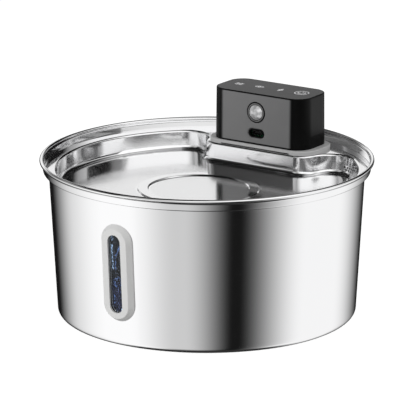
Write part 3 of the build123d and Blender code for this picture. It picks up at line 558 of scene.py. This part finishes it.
def makeWater(window, settings):
    # A slot shape filled from side to side: half the width shrinks as a circle's chord towards the
    # round ends. The depth is a sum of slow waves that dies out at the rim.
    draft = math.radians(window["draft"])
    up = np.array([0.0, -math.sin(draft), math.cos(draft)])
    out = np.array([0.0, -math.cos(draft), -math.sin(draft)])
    origin = np.array([0.0, -window["footRadius"] - window["z"] * math.tan(draft), window["z"]])
    rows, columns = settings["steps"]
    along, across = np.meshgrid(np.sin(np.linspace(-math.pi / 2, math.pi / 2, rows)),
                                np.linspace(-1.0, 1.0, columns), indexing="ij")
    half = window["width"] / 2
    rise = along * window["height"] / 2
    past = np.maximum(np.abs(rise) - (window["height"] / 2 - half), 0.0)
    side = across * np.sqrt(np.maximum(half ** 2 - past ** 2, 0.0))
    wave = (np.sin(0.9 * side + 0.31 * rise + 1.3 * np.sin(0.23 * rise))
            + 0.6 * np.sin(0.47 * rise - 1.1 * side)) / 1.6
    wave = wave * (1.0 - across ** 4) * (1.0 - along ** 8) * settings["ripple"]
    points = (origin + side[..., None] * np.array([1.0, 0.0, 0.0]) + rise[..., None] * up
              + (settings["depth"] + wave)[..., None] * out)
    water = gridPiece("windowWater", [points[::-1] * mm], weld=True)
    water.data.materials.append(waterLook(window, settings))
    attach(water, "tank")


def strokeMask(x, height, stroke):
    # 1 on a line between two points, fading to 0 at three quarters of its width from it.
    (startX, startZ), (endX, endZ), width = stroke
    runX, runZ = endX - startX, endZ - startZ
    awayX, awayZ = x - startX, height - startZ
    share = ((awayX * runX + awayZ * runZ) / (runX ** 2 + runZ ** 2)).math("ADD", 0.0, clamp=True)
    return reachOf(awayX - share * runX, awayZ - share * runZ).smooth(width * 0.75, width * 0.15)


def waterLook(window, settings):
    # Dark water, bluer at the bottom, with painted highlights over it: broken streaks, one swirl and bright
    # glints.
    look = Shader("windowWater")
    place = look.place()
    x, y, z = look.parts(place)
    drift = look.noise(place, settings["driftScale"], 2.0) - 0.5
    sway = look.noise(look.scaled(place, (1.0, 1.0, 0.35)), settings["swayScale"], 2.0) - 0.5
    x = x / mm + drift * settings["drift"]
    height = z / mm - window["z"] + sway * settings["sway"]
    paintedSwirl = settings["paintedSwirl"]
    ring = (reachOf(x - paintedSwirl["x"], height - paintedSwirl["z"]) - paintedSwirl["radius"]).math("ABSOLUTE")
    # Painted highlights: the streaks and the swirl's ring.
    streaks = sum(strokeMask(x, height, stroke) for stroke in settings["streaks"])
    streaks = streaks + ring.smooth(paintedSwirl["width"], 0.0) * paintedSwirl["strength"]
    patches = look.noise(place, settings["patchScale"], 2.0)
    streaks = streaks * patches.smooth(*settings["patchEdge"])
    # Painted highlights: the glints.
    paintedGlints = sum(strokeMask(x, height, stroke) for stroke in settings["paintedGlints"])
    paintedGlints = paintedGlints * look.noise(place, settings["glintScale"], 1.0).smooth(*settings["glintEdge"])
    tone = look.blend(settings["low"], settings["deep"], height.smooth(*settings["lowEnd"]))
    tone = look.blend(tone, settings["streak"], streaks.math("MINIMUM", 1.0) * settings["paintedStreakShare"])
    tone = look.blend(tone, settings["paintedGlint"], paintedGlints.math("MINIMUM", 1.0))
    rough = settings["roughness"] + patches * settings["roughPatches"]
    return look.surface({"Base Color": tone, "Roughness": rough,
                         "Specular IOR Level": settings["specular"],
                         "Normal": look.bump(patches, settings["bump"])})


makeWater(windowSettings, waterSettings)
print("window filled")

plasticSettings = {
    "grey": {"colour": (0.73, 0.73, 0.725), "mottle": 0.05,
             "roughness": 0.48, "grain": 2200.0, "bump": 0.00002},
    "dock": {"colour": (0.45, 0.45, 0.45), "mottle": 0.05,
             "roughness": 0.46, "grain": 2200.0, "bump": 0.00002},
    "white": {"colour": (0.80, 0.80, 0.785), "mottle": 0.04,
              "roughness": 0.40, "grain": 1800.0, "bump": 0.00003},
    "silicone": {"colour": (0.62, 0.63, 0.64), "mottle": 0.07,
                 "roughness": 0.62, "grain": 1500.0, "bump": 0.00003},
    # The tongue's near black is partly its own black plastic and partly painted shade deep in the port.
    "tongue": {"colour": (0.006, 0.006, 0.006), "mottle": 0.06,
               "roughness": 0.5, "grain": 3600.0, "bump": 0.00001},
    "lead": {"colour": (0.50, 0.03, 0.025), "mottle": 0.08,
             "roughness": 0.5, "grain": 2600.0, "bump": 0.00002},
}
mouldMarks = {"cloud": 55.0, "roughGrain": 0.10, "roughCloud": 0.06}


def plastic(name, settings):
    # Moulded plastic: fine spark-eroded grain, and a faint cloudiness from the melt's flow.
    skin = Shader(name)
    place = skin.place()
    grain = skin.noise(place, settings["grain"], 2.0, 0.6)
    cloud = skin.noise(place, mouldMarks["cloud"], 3.0)
    mottle, colour = settings["mottle"], settings["colour"]
    tone = skin.blend(toned(colour, 1.0 - mottle), toned(colour, 1.0 + mottle), cloud * 0.6 + grain * 0.4)
    rough = (settings["roughness"] + (grain - 0.5) * mouldMarks["roughGrain"]
             + (cloud - 0.5) * mouldMarks["roughCloud"])
    return skin.surface({"Base Color": tone, "Roughness": rough,
                         "Normal": skin.bump(grain, settings["bump"])})


finishes = {kind: plastic(kind + "Plastic", choice) for kind, choice in plasticSettings.items()}
dress(finishes["grey"], "window_bezel", "window_clamp")
dress(finishes["dock"], "dock")
dress(finishes["white"], "pump_column", "clamp_ring", "pump_cover", "filter_basket", "impeller")
dress(finishes["silicone"], "window_gasket", "dock_gasket", "well_seal", "riser_tube", "base_gasket")
dress(finishes["tongue"], "usb_tongue")
dress(finishes["lead"], "motor_leads")

# The controller's shell in millimetres: black at its edges, partly its black plastic and partly painted dark
# reflection, with paler fields on its flat front, sides and top. The front's field is painted sheen, the
# sides' fields are painted shade, and the front and top are painted darker towards their right ends as shade.
# A pair of numbers is where a field's edge starts and ends, and a band is from, to and blur.
shellSettings = {
    "middleY": 90.0,
    "frontEdge": (33.4, 30.2), "frontFace": (19.8, 20.4), "frontBand": (119.9, 159.0, 0.5),
    "sideEdge": (10.8, 6.8), "sideFace": (42.8, 43.4), "sideBand": (128.5, 159.0, 1.0),
    # The black is partly black plastic and partly painted dark reflection. The side tone is painted shade,
    # the front tone painted sheen, and the front's and top's far tones painted shade.
    "blackAndShade": (0.0015, 0.0015, 0.0015), "side": (0.014, 0.014, 0.014),
    "front": (0.208, 0.208, 0.209), "frontShaded": (0.172, 0.172, 0.173), "frontShadeFade": (-130.0, -30.0),
    "top": (0.086, 0.086, 0.087), "topShaded": (0.066, 0.066, 0.066), "topShadeFade": (-50.0, 50.0),
    "frontLean": 0.6, "grain": 2600.0, "cloud": 60.0,
    "roughness": 0.40, "roughGrain": 0.10, "specular": 0.10, "bump": 0.00001,
    "topRoughness": 0.36, "topRoughGrain": 0.08, "topSpecular": 0.2, "topBump": 0.000006,
    # The groove and the gap round the sensor, and the port's edge, are painted shade.
    "sensorZ": 144.8, "grooveShade": (7.45, 8.5, 0.3), "gapShade": (6.7, 6.4),
    "portZ": 127.6, "portStraight": 3.85, "portEdge": (3.5, 3.1),
}


def shell(settings):
    # The black shows between the fields, round the sensor's ring and in the port. Round the ring and in the
    # port it is painted shade: in the groove, in the gap round the dome and in the port's opening.
    skin = Shader("controllerShell")
    place = skin.place()
    x, y, z = [part / mm for part in skin.parts(place)]
    grain = skin.noise(place, settings["grain"], 2.0, 0.6)
    cloud = skin.noise(place, settings["cloud"], 3.0)
    across, along = x.math("ABSOLUTE"), (y - settings["middleY"]).math("ABSOLUTE")
    # Painted light: sheen on the flat front, shade on the sides.
    frontSheenField = (across.smooth(*settings["frontEdge"]) * along.smooth(*settings["frontFace"])
                  * z.band(*settings["frontBand"]))
    sideShadeField = (along.smooth(*settings["sideEdge"]) * across.smooth(*settings["sideFace"])
                 * z.band(*settings["sideBand"]))
    # Painted shade in the sensor's groove and in the gap round its dome, on the front only.
    reach = reachOf(x, z - settings["sensorZ"])
    ring = reach.band(*settings["grooveShade"]).math("MAXIMUM", reach.smooth(*settings["gapShade"]))
    # Painted shade in the port's opening.
    portShade = slotReach(x, z - settings["portZ"], settings["portStraight"]).smooth(*settings["portEdge"])
    inFront = y.smooth(settings["middleY"] + 1.0, settings["middleY"] - 1.0)
    frontSheenField = frontSheenField * (1.0 - ring.math("MAXIMUM", portShade) * inFront)
    # Painted shade: the front darkens towards its right end.
    shadeFade = (x - z * settings["frontLean"]).smooth(*settings["frontShadeFade"])
    front = skin.blend(settings["front"], settings["frontShaded"], shadeFade)
    tone = skin.blend(settings["blackAndShade"], front, frontSheenField)
    tone = skin.blend(tone, settings["side"], sideShadeField)
    tone = skin.blend(tone, skin.scaled(tone, (0.9, 0.9, 0.9)), grain * 0.5 + cloud * 0.5)
    rough = settings["roughness"] + (grain - 0.5) * settings["roughGrain"]
    return skin.surface({"Base Color": tone, "Roughness": rough, "Specular IOR Level": settings["specular"],
                         "Normal": skin.bump(grain, settings["bump"])})


def touchTop(settings):
    # Satin top panel, painted a little darker towards its right end as shade.
    skin = Shader("touchTop")
    place = skin.place()
    x, y, z = skin.parts(place)
    grain = skin.noise(place, settings["grain"], 2.0, 0.6)
    # Painted shade towards the panel's right end.
    tone = skin.blend(settings["top"], settings["topShaded"], (x / mm).smooth(*settings["topShadeFade"]))
    tone = skin.blend(tone, skin.scaled(tone, (0.88, 0.88, 0.88)), grain)
    rough = settings["topRoughness"] + grain * settings["topRoughGrain"]
    return skin.surface({"Base Color": tone, "Roughness": rough,
                         "Specular IOR Level": settings["topSpecular"],
                         "Normal": skin.bump(grain, settings["topBump"])})


dress(shell(shellSettings), "controller_housing", "controller_base", "lens_ring")
dress(touchTop(shellSettings), "touch_panel")

metalSettings = {
    "screw": {"colour": (0.72, 0.72, 0.72), "roughness": 0.22, "lines": 2600.0},
    "can": {"colour": (0.60, 0.60, 0.61), "roughness": 0.32, "lines": 1500.0},
    # The socket is steel painted near black, as painted shade deep in the port.
    "socket": {"colour": (0.05, 0.05, 0.05), "roughness": 0.40, "lines": 1500.0},
    "magnet": {"colour": (0.33, 0.33, 0.34), "roughness": 0.42, "lines": 1900.0},
}
turningMarks = {"cloud": 240.0, "roughLines": 0.16, "roughCloud": 0.08, "bump": 0.00001}


def metal(name, settings):
    # Turned metal: thin rings across each pin, and a slight cloudiness.
    skin = Shader(name)
    place = skin.place()
    lines = skin.noise(skin.scaled(place, (0.08, 0.08, 1.0)), settings["lines"], 2.0)
    cloud = skin.noise(place, turningMarks["cloud"], 3.0)
    tone = skin.blend(toned(settings["colour"], 0.86), settings["colour"], cloud.smooth(0.3, 0.7))
    rough = (settings["roughness"] + (lines - 0.5) * turningMarks["roughLines"]
             + (cloud - 0.5) * turningMarks["roughCloud"])
    return skin.surface({"Base Color": tone, "Metallic": 1.0, "Roughness": rough,
                         "Normal": skin.bump(lines, turningMarks["bump"])})


metals = {kind: metal(kind + "Metal", choice) for kind, choice in metalSettings.items()}
dress(metals["screw"], "dock_screws", "cover_screws", "board_screws", "base_screws")
dress(metals["screw"], "impeller_shaft", "motor_shaft")
dress(metals["can"], "motor", "pir_sensor")
dress(metals["socket"], "usb_socket")
dress(metals["magnet"], "impeller_magnet", "drive_magnet")

blockSettings = {
    "foam": {"colour": (0.085, 0.090, 0.095), "pore": (0.008, 0.008, 0.009), "cells": 900.0,
             "roughness": 0.9, "bump": 0.0006},
    "carbon": {"fibre": (0.86, 0.86, 0.83), "granule": (0.02, 0.02, 0.022), "fibres": 2600.0,
               "granules": 620.0, "patches": 160.0, "roughness": 0.88, "bump": 0.00025},
    "board": {"mask": (0.010, 0.105, 0.045), "track": (0.018, 0.170, 0.070), "pad": (0.62, 0.52, 0.22),
              "tracks": 420.0, "lanes": 60.0, "pads": 190.0, "roughness": 0.32, "bump": 0.00003},
    "cell": {"sleeve": (0.030, 0.085, 0.30), "cap": (0.62, 0.62, 0.60), "capEdge": (0.0323, 0.0327),
             "creasesAlong": 90.0, "creasesAcross": 700.0, "roughness": 0.28, "bump": 0.00004},
}


def foam(settings):
    # Open cells: dark pores between pale struts.
    skin = Shader("openCellFoam")
    pores = skin.cells(skin.place(), settings["cells"], "DISTANCE_TO_EDGE")
    tone = skin.blend(settings["colour"], settings["pore"], pores.smooth(0.04, 0.28))
    return skin.surface({"Base Color": tone, "Roughness": settings["roughness"],
                         "Normal": skin.bump(pores.smooth(0.3, 0.0), settings["bump"])})


def carbon(settings):
    # White fibre fleece with carbon granules showing through.
    skin = Shader("carbonPad")
    place = skin.place()
    fibre = skin.noise(skin.scaled(place, (1.0, 1.0, 0.25)), settings["fibres"], 3.0, 0.7)
    patches = skin.noise(place, settings["patches"], 2.0).smooth(0.42, 0.6)
    mask = skin.cells(place, settings["granules"]).smooth(0.34, 0.20) * patches
    fleece = skin.blend(toned(settings["fibre"], 0.82), settings["fibre"], fibre)
    tone = skin.blend(fleece, settings["granule"], mask * 0.85)
    return skin.surface({"Base Color": tone, "Roughness": settings["roughness"],
                         "Normal": skin.bump(fibre + mask, settings["bump"])})


def board(settings):
    # Green solder mask over straight tracks, with small gilded pads.
    skin = Shader("circuitBoard")
    place = skin.place()
    x, y, z = skin.parts(place)
    scale, lane = settings["tracks"], settings["lanes"]
    stripes = ((x + z) * scale).math("FRACT").band(0.25, 0.6, 0.1)
    lanes = skin.noise(skin.vector(x * lane, y * lane, z * lane), 1.0, 0.0).smooth(0.48, 0.52)
    tracks = stripes * lanes
    padX = ((x * scale * 0.5).math("FRACT") - 0.5).math("ABSOLUTE")
    padZ = (((y + z) * scale * 0.5).math("FRACT") - 0.5).math("ABSOLUTE")
    kept = skin.noise(place, settings["pads"], 0.0).smooth(0.58, 0.62)
    pads = padX.math("MAXIMUM", padZ).smooth(0.22, 0.18) * kept
    tone = skin.blend(skin.blend(settings["mask"], settings["track"], tracks), settings["pad"], pads)
    return skin.surface({"Base Color": tone, "Metallic": pads,
                         "Roughness": settings["roughness"] - pads * 0.05,
                         "Normal": skin.bump(tracks + pads, settings["bump"])})


def cell(settings):
    # A shrunk sleeve with bare metal ends.
    skin = Shader("batteryCell")
    x, y, z = skin.parts(skin.place())
    along, across = settings["creasesAlong"], settings["creasesAcross"]
    ends = x.math("ABSOLUTE").smooth(*settings["capEdge"])
    creases = skin.noise(skin.vector(x * along, y * across, z * across), 1.0, 3.0)
    sleeve = skin.blend(settings["sleeve"], toned(settings["sleeve"], 1.25), creases)
    tone = skin.blend(sleeve, settings["cap"], ends)
    return skin.surface({"Base Color": tone, "Metallic": ends,
                         "Roughness": settings["roughness"] + creases * 0.1,
                         "Normal": skin.bump(creases, settings["bump"])})


dress(foam(blockSettings["foam"]), "foam_filter")
dress(carbon(blockSettings["carbon"]), "carbon_filter")
dress(board(blockSettings["board"]), "touch_board", "control_board")
dress(cell(blockSettings["cell"]), "battery_cell")

# The window's lens. Its rim's blur is in millimetres.
lensSettings = {"clear": (0.90, 0.95, 1.0), "rimShade": (0.012, 0.012, 0.016), "index": 1.25,
                "rimBlur": 0.2, "wave": 120.0, "roughness": 0.015, "roughWave": 0.02, "bump": 0.00006}


def clearPlastic(window, settings):
    # Moulded clear plastic with the faintest waviness. Its rim, which lies behind the bezel, is painted dark
    # as shade.
    skin = Shader("clearPlastic")
    place = skin.place()
    x, y, z = [part / mm for part in skin.parts(place)]
    half = window["width"] / 2
    reach = slotReach(z - window["z"], x, window["height"] / 2 - half)
    tone = skin.blend(settings["clear"], settings["rimShade"], reach.smooth(half, half + settings["rimBlur"]))
    wave = skin.noise(place, settings["wave"], 2.0)
    rough = settings["roughness"] + wave * settings["roughWave"]
    return skin.surface({"Base Color": tone, "Transmission Weight": 1.0, "IOR": settings["index"],
                         "Roughness": rough, "Normal": skin.bump(wave, settings["bump"])})


dress(clearPlastic(windowSettings, lensSettings), "window_lens")

# The sensor's cap in millimetres: flat six-sided facets that all touch one shallow dome. The facets
# stand a pitch apart in a row, and the rows lie a rowPitch of that apart.
domeSettings = {
    "z": shellSettings["sensorZ"], "radius": 6.1, "rise": 2.6, "lip": 0.35, "proud": 0.06,
    "pitch": 2.5, "rowPitch": 0.866, "reach": 3, "rings": 44, "spokes": 144,
    "colour": (0.88, 0.88, 0.885), "metallic": 0.7, "roughness": 0.26, "roughFrost": 0.12,
    "frost": 2400.0, "cloud": 300.0, "bump": 0.00001,
}


def frostedDome(settings):
    # Milky plastic with a silvery gloss and the finest frosting.
    skin = Shader("frostedDome")
    place = skin.place()
    frost = skin.noise(place, settings["frost"], 2.0)
    cloud = skin.noise(place, settings["cloud"], 2.0)
    tone = skin.blend(toned(settings["colour"], 0.9), settings["colour"], cloud)
    rough = settings["roughness"] + frost * settings["roughFrost"]
    return skin.surface({"Base Color": tone, "Metallic": settings["metallic"], "Roughness": rough,
                         "Normal": skin.bump(frost, settings["bump"])})


def makeDome(settings):
    # A point at a turn and a reach from the axis lies on the lowest of the planes that touch a
    # sphere at the facets' middles, which form a six-sided lattice. A short skirt closes the rim.
    radius, rise, pitch = settings["radius"], settings["rise"], settings["pitch"]
    sphere = (radius ** 2 + rise ** 2) / (2 * rise)
    numbers = np.arange(-settings["reach"], settings["reach"] + 1)
    i, j = np.meshgrid(numbers, numbers, indexing="ij")
    latticeX, latticeZ = pitch * (i + 0.5 * j).ravel(), pitch * settings["rowPitch"] * j.ravel()
    close = np.hypot(latticeX, latticeZ) < radius + 0.5 * pitch
    latticeX, latticeZ = latticeX[close], latticeZ[close]
    latticeH = np.sqrt(np.maximum(sphere ** 2 - latticeX ** 2 - latticeZ ** 2, 0.0))
    turn = np.linspace(0.0, 2 * math.pi, settings["spokes"], endpoint=False)
    reach, turn = np.meshgrid(np.linspace(0.0, radius, settings["rings"]), turn, indexing="ij")
    across, along = reach * np.cos(turn), reach * np.sin(turn)
    planes = (sphere ** 2 - across[..., None] * latticeX - along[..., None] * latticeZ) / latticeH
    height = np.clip(planes.min(axis=-1) - (sphere - rise), 0.0, rise)
    height[-1] = 0.0
    height = np.concatenate([height, np.full_like(height[-1:], -settings["lip"])])
    across, along = [np.concatenate([part, part[-1:]]) for part in (across, along)]
    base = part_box("pir_lens")[0][1] / mm - settings["proud"] + rise
    points = np.stack([across, base - height, settings["z"] + along], axis=-1)
    dome = gridPiece("sensorDome", [points * mm], closed=True, weld=True)
    dome.data.materials.append(frostedDome(settings))
    dome.data.shade_flat()
    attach(dome, "controller")


makeDome(domeSettings)
dress(plastic("milkyLens", {"colour": (0.78, 0.78, 0.78), "roughness": 0.3, "grain": 2400.0, "mottle": 0.05,
                            "bump": 0.00001}), "pir_lens")
print("finishes on")

# Signs on the touch panel: millimetres from each sign's middle, seen from above with the front below.
signSettings = {
    "top": 160.0, "width": 0.90, "height": 0.05, "colour": (0.92, 0.92, 0.93), "speckle": 3000.0,
    "wave": (-29.9, 90.4), "eye": (-11.0, 91.2), "flash": (9.0, 91.1), "power": (28.3, 92.0), "ring": 5.6,
}


def ribbon(path, width, height):
    # A flat oval is carried along the path and shrinks to nothing at both ends.
    along = np.gradient(path, axis=0)
    along /= np.linalg.norm(along, axis=1, keepdims=True)
    side = np.stack([-along[:, 1], along[:, 0]], axis=1)
    turn = np.linspace(0.0, 2 * math.pi, 8, endpoint=False)
    taper = np.ones(len(path))
    taper[[0, -1]] = 0.0
    taper[[1, -2]] = 0.8
    across = (taper * width / 2)[:, None] * np.cos(turn)
    up = (taper * height)[:, None] * np.maximum(np.sin(turn), -0.2)
    flat = path[:, None] + side[:, None] * across[..., None]
    return np.concatenate([flat, up[..., None]], axis=-1)


def line(*corners, steps=10):
    # Evenly spaced points on each run between corners.
    corners = np.asarray(corners, float)
    share = np.linspace(0.0, 1.0, steps, endpoint=False)[:, None]
    runs = corners[:-1, None] + (corners[1:] - corners[:-1])[:, None] * share
    return np.concatenate([runs.reshape(-1, 2), corners[-1:]])


def arc(lift, radius, start, finish, steps=40):
    # Evenly spaced points on a circle whose middle is lifted from the sign's middle.
    turn = np.radians(np.linspace(start, finish, steps))
    return np.stack([radius * np.cos(turn), lift + radius * np.sin(turn)], axis=1)


def makeSigns(settings):
    # Each sign is one or more lines, drawn from its own middle.
    across = np.linspace(-3.6, 3.6, 40)
    signs = {
        "wave": [np.stack([across, 0.6 * np.sin(across * 1.75) + lift], axis=1) for lift in (-1.7, 0.3, 2.3)],
        "eye": [arc(-3.0, 4.9, 37.0, 143.0), arc(3.0, 4.9, 217.0, 323.0), arc(0.0, 1.0, 0.0, 351.0)],
        "flash": [line((1.0, 3.7), (-2.0, -0.4), (0.1, -0.4), (-1.0, -3.7),
                       (2.0, 0.5), (-0.1, 0.5), (1.0, 3.5))],
        "power": [arc(0.0, 3.0, 125.0, 415.0), line((0.0, 1.2), (0.0, 3.9)),
                  arc(0.0, settings["ring"], 0.0, 354.0, 60)],
    }
    grids = []
    for sign, paths in signs.items():
        for path in paths:
            points = ribbon(path, settings["width"], settings["height"])
            points += np.array([*settings[sign], settings["top"]])
            grids.append(points * mm)
    piece = gridPiece("touchSigns", grids, closed=True, weld=True)
    ink = Shader("printedSigns")
    speckle = ink.noise(ink.place(), settings["speckle"], 2.0)
    tone = ink.blend(toned(settings["colour"], 0.9), settings["colour"], speckle)
    piece.data.materials.append(ink.surface({"Base Color": tone, "Roughness": 0.5 + speckle * 0.1}))
    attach(piece, "controller")


makeSigns(signSettings)
print("signs printed")

bpy.context.scene.view_settings.view_transform = "Standard"
